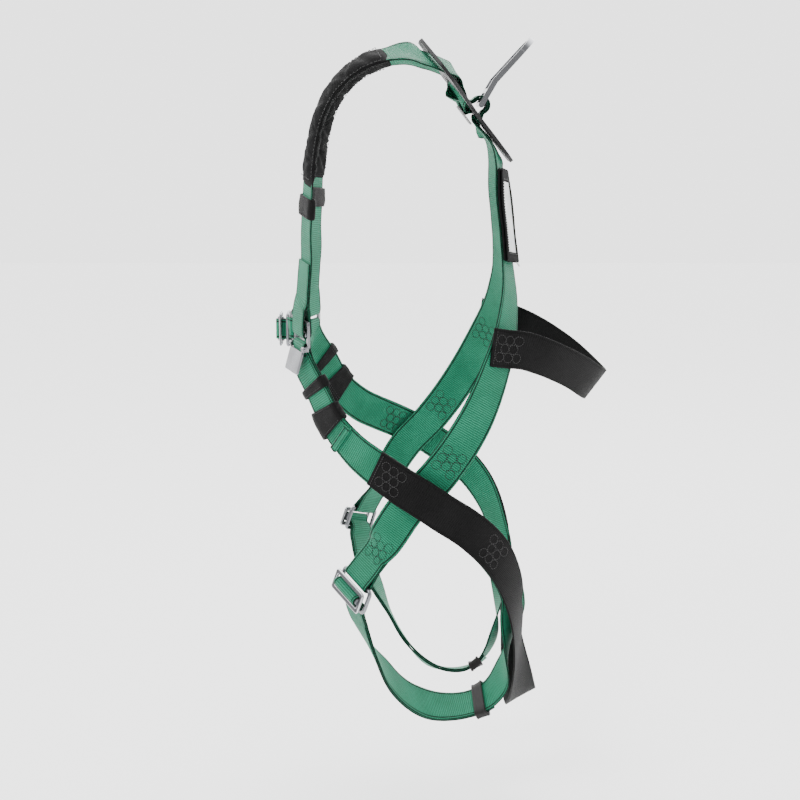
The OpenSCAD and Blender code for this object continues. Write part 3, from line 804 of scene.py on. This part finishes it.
for black, first in ((lumbar, 0.022), (seat, 0.024)):
    for s in (first, black.length - first):
        sewing["black"].honeycomb(black, s)
        sewing["green"].honeycomb(black, s, side=-1)
        sewing["green"].honeycomb(black, s, side=-1, offset=LAYER + WOVEN_T / 2)
        edge = 0.004 if s < black.length / 2 else black.length - 0.004
        sewing["black"].line(black, [(edge, -0.0195), (edge, 0.0195)])
for s in (SEAT_REAR, seat.length - SEAT_REAR):
    sewing["black"].honeycomb(seat, s)
for side in SIDES:
    back = shoulder[side]
    low = [k for k in range(len(back.centre)) if back.centre[k][1] > -0.05 and back.s[k] > PAST_SHOULDER]
    for heights, faces in ((OUTER_CLUSTERS, (1, -1)), ((INNER_CLUSTER,), (-1,))):
        for height in heights:
            nearest = min(low, key=lambda k: abs(back.centre[k][2] - height))
            for face in faces:
                sewing["green"].honeycomb(back, back.s[nearest], side=face)
    for s in (0.008, 0.014):
        sewing["green"].bar(back, s, 0.019)
    for s in (0.010, 0.016):
        sewing["green"].bar(hip[side], s, 0.019)

for seam in sewing.values():
    if len(seam.starts):
        seam.make()

# ---- Padded sleeves on the shoulders ----


PAD_W, PAD_T = 0.0545, 0.0115
# each crease's place as a share of the sleeve's length, its size, and how far it runs aslant
CREASES = ((0.10, 0.012, 0.5), (0.19, 0.009, -0.35), (0.30, 0.010, 0.3), (0.40, 0.007, -0.5),
           (0.50, 0.011, 0.42), (0.585, 0.008, -0.2), (0.67, 0.010, 0.5), (0.76, 0.008, -0.4),
           (0.86, 0.011, 0.25))


def superellipse(count, power):
    turn = np.arange(count) * 2 * math.pi / count
    c, s = np.cos(turn), np.sin(turn)
    return np.sign(c) * np.abs(c) ** power, np.sign(s) * np.abs(s)


def pad(side):
    """A soft sleeve round the strap: crowned foam, creased across where it bends, its ends gathered in."""
    course = courses(f"shoulder_pad_{side}", PAD_W, PAD_T)[0]
    course = from_start(course, (mirror(side) * 0.087, -0.11, -0.14))
    length = course.length
    course = course.between(0.0, length, 0.0011)
    rings, around = len(course.s), 72
    u, v = superellipse(around, 0.62)
    share = course.s / length
    end = np.minimum(course.s, length - course.s)
    gather = np.clip(end / 0.016, 0, 1) ** 0.5
    half = 0.0264 + 0.0012 * np.sin(share * 9.0 + 1.0) + 0.0010 * np.sin(share * 23.0)
    points = np.zeros((rings, around, 3))
    seed = 4.0 * mirror(side)
    for k in range(rings):
        x = u * half[k]
        crown = (1 - np.abs(u) ** 2.6) ** 0.75
        thick = (0.0022 + 0.0040 * crown * gather[k])
        dent = np.zeros(around)
        pull = 0.0
        for place, size, slope in CREASES:
            here = course.s[k] - place * length - slope * x
            ridge = np.exp(-(here / (0.34 * size)) ** 2)
            swell = np.exp(-((np.abs(here) - 0.85 * size) / (0.45 * size)) ** 2)
            dent += 0.0021 * ridge - 0.0007 * swell
            pull += 0.0016 * np.exp(-((course.s[k] - place * length) / (0.5 * size)) ** 2)
        inner = (v < 0) * 0.6 + 0.55
        s = course.s[k]
        soft = np.array([noise.noise(Vector((a * 60 + seed, b * 1.2, s * 85))) for a, b in zip(x, v)])
        fine = np.array([noise.noise(Vector((a * 150 + seed, b * 2.2 + 7, s * 260))) for a, b in zip(x, v)])
        lift = soft * 0.0009 + fine * 0.00018 - dent * inner
        y = v * np.maximum(thick + lift * crown, 0.0017)
        x = x - np.sign(x) * pull * np.abs(u) ** 3
        skew = 0.006 * (x / 0.027) * np.clip(1 - course.s[k] / 0.03, 0, 1)
        centre, out, across = course.at(np.clip(course.s[k] + skew, 0, length))
        points[k] = centre + x[:, None] * across + y[:, None] * out
    caps = []
    for k, sign in ((0, 1), (rings - 1, -1)):
        along = np.cross(course.out[k], course.across[k])
        mouth = (course.centre[k] + (u * 0.0232)[:, None] * course.across[k]
                 + (v * 0.0015)[:, None] * course.out[k] + sign * 0.004 * along * -1)
        lip = (points[k] + mouth) / 2 - sign * 0.0012 * -along
        caps.append((lip, mouth))
    layers = [caps[0][1], caps[0][0], *points, caps[1][0], caps[1][1]]
    grid = np.array(layers)
    faces = tube_faces(len(grid), around, closed_ends=False)
    piece = add_mesh(f"pad_{side}", grid.reshape(-1, 3), faces, pad_fabric)
    finished(piece, "root", "pad_fabric", f"shoulder_pad_{side}")
    edge = Seams(f"pad_sewing_{side}", black_thread, "root", "pad_fabric")
    for x in (-0.0246, 0.0246):
        for face in (-1, 1):
            edge.line(course, [(0.008, x), (length - 0.006, x)], face, 0.0024, length=0.0032, gap=0.0012)
    for s in (0.006, length - 0.006):
        edge.line(course, [(s, -0.022), (s, 0.022)], 1, 0.0047, length=0.0032, gap=0.0012)
    edge.make()


for side in SIDES:
    pad(side)

# ---- Keepers ----

BAND_WALL = 0.0016


def band(node, width, depth, wall, corner, material, slot, bulge=0.0, rails=0.0, wave=0.0):
    """A closed band round the webbing, with rounded corners and edges."""
    course = courses(node, width, depth)[0]
    length = course.length
    course = course.between(0, length, 0.0008)
    around = 64
    turn = np.arange(around) * 2 * math.pi / around

    def outline(grow):
        half_w, half_d = width / 2 - wall + grow, depth / 2 - wall + grow
        r = min(corner + grow - wall, half_d * 0.98)
        c, s = np.cos(turn), np.sin(turn)
        scale = 1 / np.maximum(np.abs(c) / half_w, np.abs(s) / half_d)
        x, y = c * scale, s * scale
        cx, cy = np.clip(x, r - half_w, half_w - r), np.clip(y, r - half_d, half_d - r)
        dx, dy = x - cx, y - cy
        size = np.maximum(np.hypot(dx, dy), 1e-9)
        on_corner = (np.abs(dx) > 1e-9) & (np.abs(dy) > 1e-9)
        return np.where(on_corner, cx + dx / size * r, x), np.where(on_corner, cy + dy / size * r, y)

    rings = []
    for k, s in enumerate(course.s):
        end = min(s, length - s)
        round_off = 0.4 * wall * (1 - min(1.0, end / (0.6 * wall))) ** 2
        lift = bulge * math.sin(math.pi * s / length)
        if rails and end < 0.0028:
            lift += rails
        x, y = outline(wall - round_off)
        sway = np.array([noise.noise(Vector((a * 90, b * 90, s * 120 + course.centre[0][0] * 50)))
                         for a, b in zip(x, y)]) * wave
        rings.append(course.centre[k] + (x * (1 + (sway + lift) / (width / 2)))[:, None] * course.across[k]
                     + (y * (1 + (sway + lift) / (depth / 2)))[:, None] * course.out[k])
    for k in (len(course.s) - 1, 0):
        x, y = outline(0.25 * wall)
        rings.append(course.centre[k] + x[:, None] * course.across[k] + y[:, None] * course.out[k])
    grid = np.array(rings)
    faces = tube_faces(len(grid), around, closed_ends=False)
    last = (len(grid) - 1) * around
    faces += [[last + j, last + (j + 1) % around, (j + 1) % around, j] for j in range(around)]
    weave = np.stack([np.tile(turn * (width + depth) / math.pi / MM, len(grid)),
                      np.repeat(np.r_[course.s, course.s[-1], 0] / MM, around)], axis=1)
    piece = add_mesh(f"band_{node}", grid.reshape(-1, 3), faces, material, weave)
    finished(piece, body_of(node), slot, node)
    return course


def elastic_band(node, width, depth):
    course = band(node, width, depth, BAND_WALL, 0.0034, elastic_weave, "elastic", bulge=0.0005, wave=0.0006)
    seam = Seams(f"{node}_sewing", black_thread, body_of(node), "elastic")
    inset = 0.0022
    for s in (inset, course.length - inset):
        seam.line(course, [(s, -width / 2 + 0.006), (s, width / 2 - 0.006)], 1, depth / 2 + 0.0003,
                  length=0.0022, gap=0.0010)
    x = 0.3 * width
    for shift in (0.0, 0.0032):
        seam.line(course, [(inset, x + shift), (course.length - inset, x + shift)], -1, depth / 2 + 0.0003)
    seam.make()


for side in SIDES:
    elastic_band(f"shoulder_keeper_{side}", BAND_W, SHOULDER_BAND_T)
    elastic_band(f"hip_keeper_{side}", BAND_W, HIP_BAND_T)
    elastic_band(f"hip_sleeve_{side}", BAND_W, HIP_BAND_T)
    band(f"leg_keeper_{side}", BAND_W, LEG_BAND_T, BAND_WALL, 0.0028, keeper_plastic, "keeper_plastic",
         rails=0.0005)

# ---- Label pocket ----

POCKET_W, POCKET_T = 0.049, 0.004
WINDOW_HALF = 0.0186


def slab(course, half, thickness, offset, bulge=0.0, sag=0.0):
    """A thin padded rectangle on a course: rounded edges, slightly crowned."""
    columns = 26
    x = half * np.sin(np.linspace(-math.pi / 2, math.pi / 2, columns))
    edge = np.sqrt(np.clip(1 - (np.abs(x) / half) ** 12, 0, 1))
    crown = 1 - (x / half) ** 2
    s_edge = np.minimum(course.s, course.length - course.s)
    along = np.sqrt(np.clip(1 - (1 - np.clip(s_edge / (0.6 * thickness), 0, 1)) ** 2, 0, 1))
    top = thickness / 2 * edge[None] * along[:, None] + bulge * crown[None] * np.sin(
        np.clip(course.s / course.length, 0, 1) * math.pi)[:, None]
    soft = np.array([[noise.noise(Vector(p) * 60 + Vector((float(a) * 70, 3, 1))) for a in x]
                     for p in course.centre])
    top = top + sag * soft * edge[None]
    low = -thickness / 2 * edge[None] * along[:, None]
    upper = (course.centre[:, None] + x[None, :, None] * course.across[:, None]
             + (offset + top)[..., None] * course.out[:, None])
    lower = (course.centre[:, None] + x[None, :, None] * course.across[:, None]
             + (offset + low)[..., None] * course.out[:, None])
    grid = np.concatenate([upper, lower[:, ::-1]], axis=1)
    return grid.reshape(-1, 3), tube_faces(grid.shape[0], grid.shape[1])


pocket = courses("label_pocket", POCKET_W, POCKET_T)[0]
pocket = from_start(pocket, (0.048, 0.110, -0.130))
points, faces = slab(pocket, POCKET_W / 2, 0.0036, 0.0, bulge=0.0010, sag=0.0004)
finished(add_mesh("pocket_back", points, faces, pocket_fabric), "root", "pocket_fabric", "label_pocket")
window = pocket.between(0.014, pocket.length - 0.010, 0.0015)
points, faces = slab(window, 0.0185, 0.0008, 0.0030, bulge=0.0007)
finished(add_mesh("card", points, faces, card_white), "root", "label_card", "label_card")
binding = Seams("pocket_sewing", grey_thread, "root", "pocket_fabric")
edge, side_half, end_half = POCKET_W / 2, 0.00325, 0.0235
strips = {"binding_front": (0.0, pocket.length, side_half - edge, side_half),
          "binding_rear": (0.0, pocket.length, edge - side_half, side_half),
          "binding_top": (0.0, 0.0155, 0.0, end_half),
          "binding_foot": (pocket.length - 0.0115, pocket.length, 0.0, end_half)}
for name, (first, last, sideways, half) in strips.items():
    part = pocket.between(first, last, 0.0015)
    shifted = Course(part.centre + sideways * part.across, part.out)
    points, faces = slab(shifted, half, 0.0018, 0.0034, bulge=0.0003, sag=0.0003)
    finished(add_mesh(name, points, faces, pocket_fabric), "root", "pocket_fabric")
for x in (-WINDOW_HALF, WINDOW_HALF):
    binding.line(pocket, [(0.014, x), (pocket.length - 0.011, x)], 1, 0.0046)
for s in (0.013, pocket.length - 0.009):
    binding.line(pocket, [(s, -WINDOW_HALF), (s, WINDOW_HALF)], 1, 0.0046)
binding.make()
below = pocket.between(pocket.length - 0.004, pocket.length, 0.001)
drop = np.array([below.centre[-1] + np.array((0.0, 0.0008, -0.001)) * k for k in range(-12, 5)])
drop_out = np.tile(below.out[-1], (len(drop), 1))
tag = Course(drop + below.across[-1] * -0.0262 + below.out[-1] * 0.0010, drop_out)
points, faces = slab(tag, 0.0020, 0.0009, 0.0)
finished(add_mesh("small_tag", points, faces, card_white), "root", "label_card")

# ---- Hardware: the CAD shapes, with eased edges and their own finishes ----


def shading_group():
    """Geometry nodes that shade faces smooth and keep edges sharper than thirty degrees."""
    group = bpy.data.node_groups.new("soft_shading", "GeometryNodeTree")
    group.interface.new_socket("Geometry", in_out="INPUT", socket_type="NodeSocketGeometry")
    group.interface.new_socket("Geometry", in_out="OUTPUT", socket_type="NodeSocketGeometry")
    start, end = group.nodes.new("NodeGroupInput"), group.nodes.new("NodeGroupOutput")
    faces = group.nodes.new("GeometryNodeSetShadeSmooth")
    faces.domain = "FACE"
    sharp = group.nodes.new("GeometryNodeSetShadeSmooth")
    sharp.domain = "EDGE"
    sharp.inputs["Shade Smooth"].default_value = False
    angle = group.nodes.new("GeometryNodeInputMeshEdgeAngle")
    over = group.nodes.new("FunctionNodeCompare")
    over.data_type, over.operation = "FLOAT", "GREATER_THAN"
    over.inputs["B"].default_value = math.radians(32)
    group.links.new(start.outputs[0], faces.inputs["Geometry"])
    group.links.new(faces.outputs[0], sharp.inputs["Geometry"])
    group.links.new(angle.outputs["Unsigned Angle"], over.inputs["A"])
    group.links.new(over.outputs["Result"], sharp.inputs["Selection"])
    group.links.new(sharp.outputs[0], end.inputs[0])
    return group


soft_shading = shading_group()


def dress(node, material, bevel, edge_material=None, segments=3):
    """Gives a CAD node its finish and eases its edges."""
    shown = nodes[node]
    for slot in range(len(shown.material_slots)):
        shown.material_slots[slot].link = "OBJECT"
        shown.material_slots[slot].material = material
    if not shown.material_slots:
        shown.data.materials.append(material)
    weld = shown.modifiers.new("weld", "WELD")
    weld.merge_threshold = 0.00002
    if edge_material:
        shown.data.materials.append(edge_material)
    if bevel:
        ease = shown.modifiers.new("edges", "BEVEL")
        ease.material = len(shown.material_slots) - 1 if edge_material else -1
        ease.width, ease.segments, ease.limit_method = bevel, segments, "ANGLE"
        ease.angle_limit = math.radians(32)
    shade = shown.modifiers.new("shading", "NODES")
    shade.node_group = soft_shading


dress("dorsal_plate", dorsal_plastic, 0.0008)
dress("dorsal_ring", forged, 0.0011)
dress("fall_indicator", band_grey, 0.0003)
for side in SIDES:
    dress(f"chest_slide_{side}", bright, 0.0005)
    dress(f"chest_lever_{side}", bright, 0.0005)
    dress(f"chest_pin_{side}", bright, 0.0002)
    dress(f"chest_bar_{side}", bar_steel, 0.0002)
    dress(f"leg_ring_{side}", bright, 0.0)
    dress(f"leg_plate_{side}", dark_face, 0.0011, bright_edge)
    dress(f"leg_bar_{side}", bar_steel, 0.0002)
dress("chest_ring", bright, 0.0)
dress("chest_plate", dark_face, 0.0010, bright_edge)
dress("chest_plate_bar", bar_steel, 0.0002)
